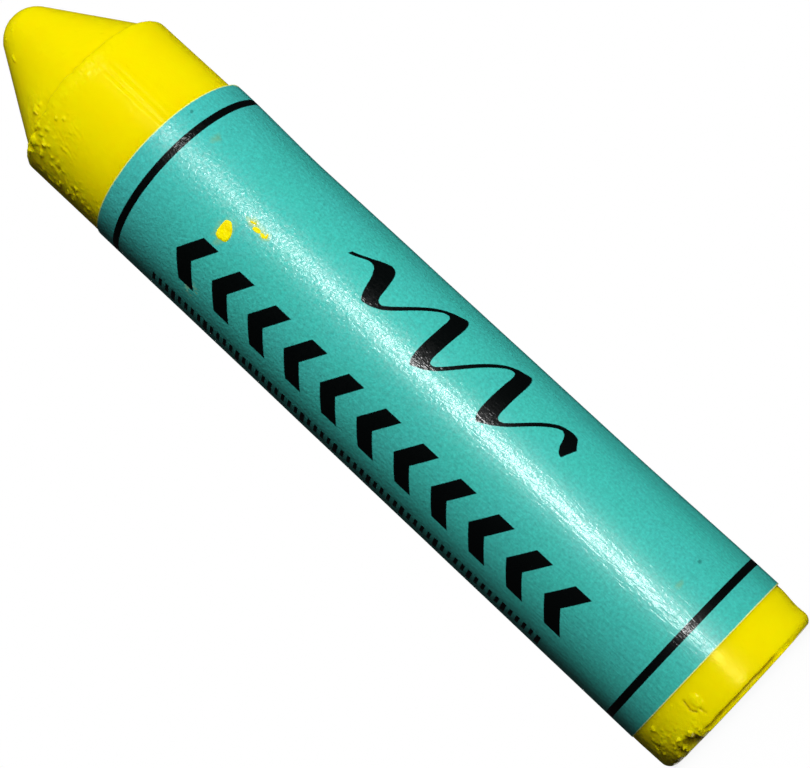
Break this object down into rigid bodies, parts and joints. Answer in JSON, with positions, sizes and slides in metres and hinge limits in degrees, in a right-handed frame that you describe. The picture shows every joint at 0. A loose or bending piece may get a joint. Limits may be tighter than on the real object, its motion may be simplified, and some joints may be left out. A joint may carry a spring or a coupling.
{
  "type": "wax marking stick",
  "caption": "Round marking stick of yellow wax with a blunt conical nose and a wrapped teal paper label, standing on its flat tail end.",
  "frame": {"origin": "centre of the flat tail face", "axes": "+Z along the stick from the tail face to the tip of the nose; -Y is the side that shows the chipped stretch of the tail's edge; the label's lap lies on the +X side"},
  "size_m": [0.0223, 0.0222, 0.112],
  "materials": {
    "yellow_wax": "smooth cast wax, satin",
    "label_paper": "gloss coated, printed teal with black rules"
  },
  "bodies": {
    "root": {"wax_stick": "yellow_wax", "paper_label": "label_paper"}
  },
  "joints": []
}
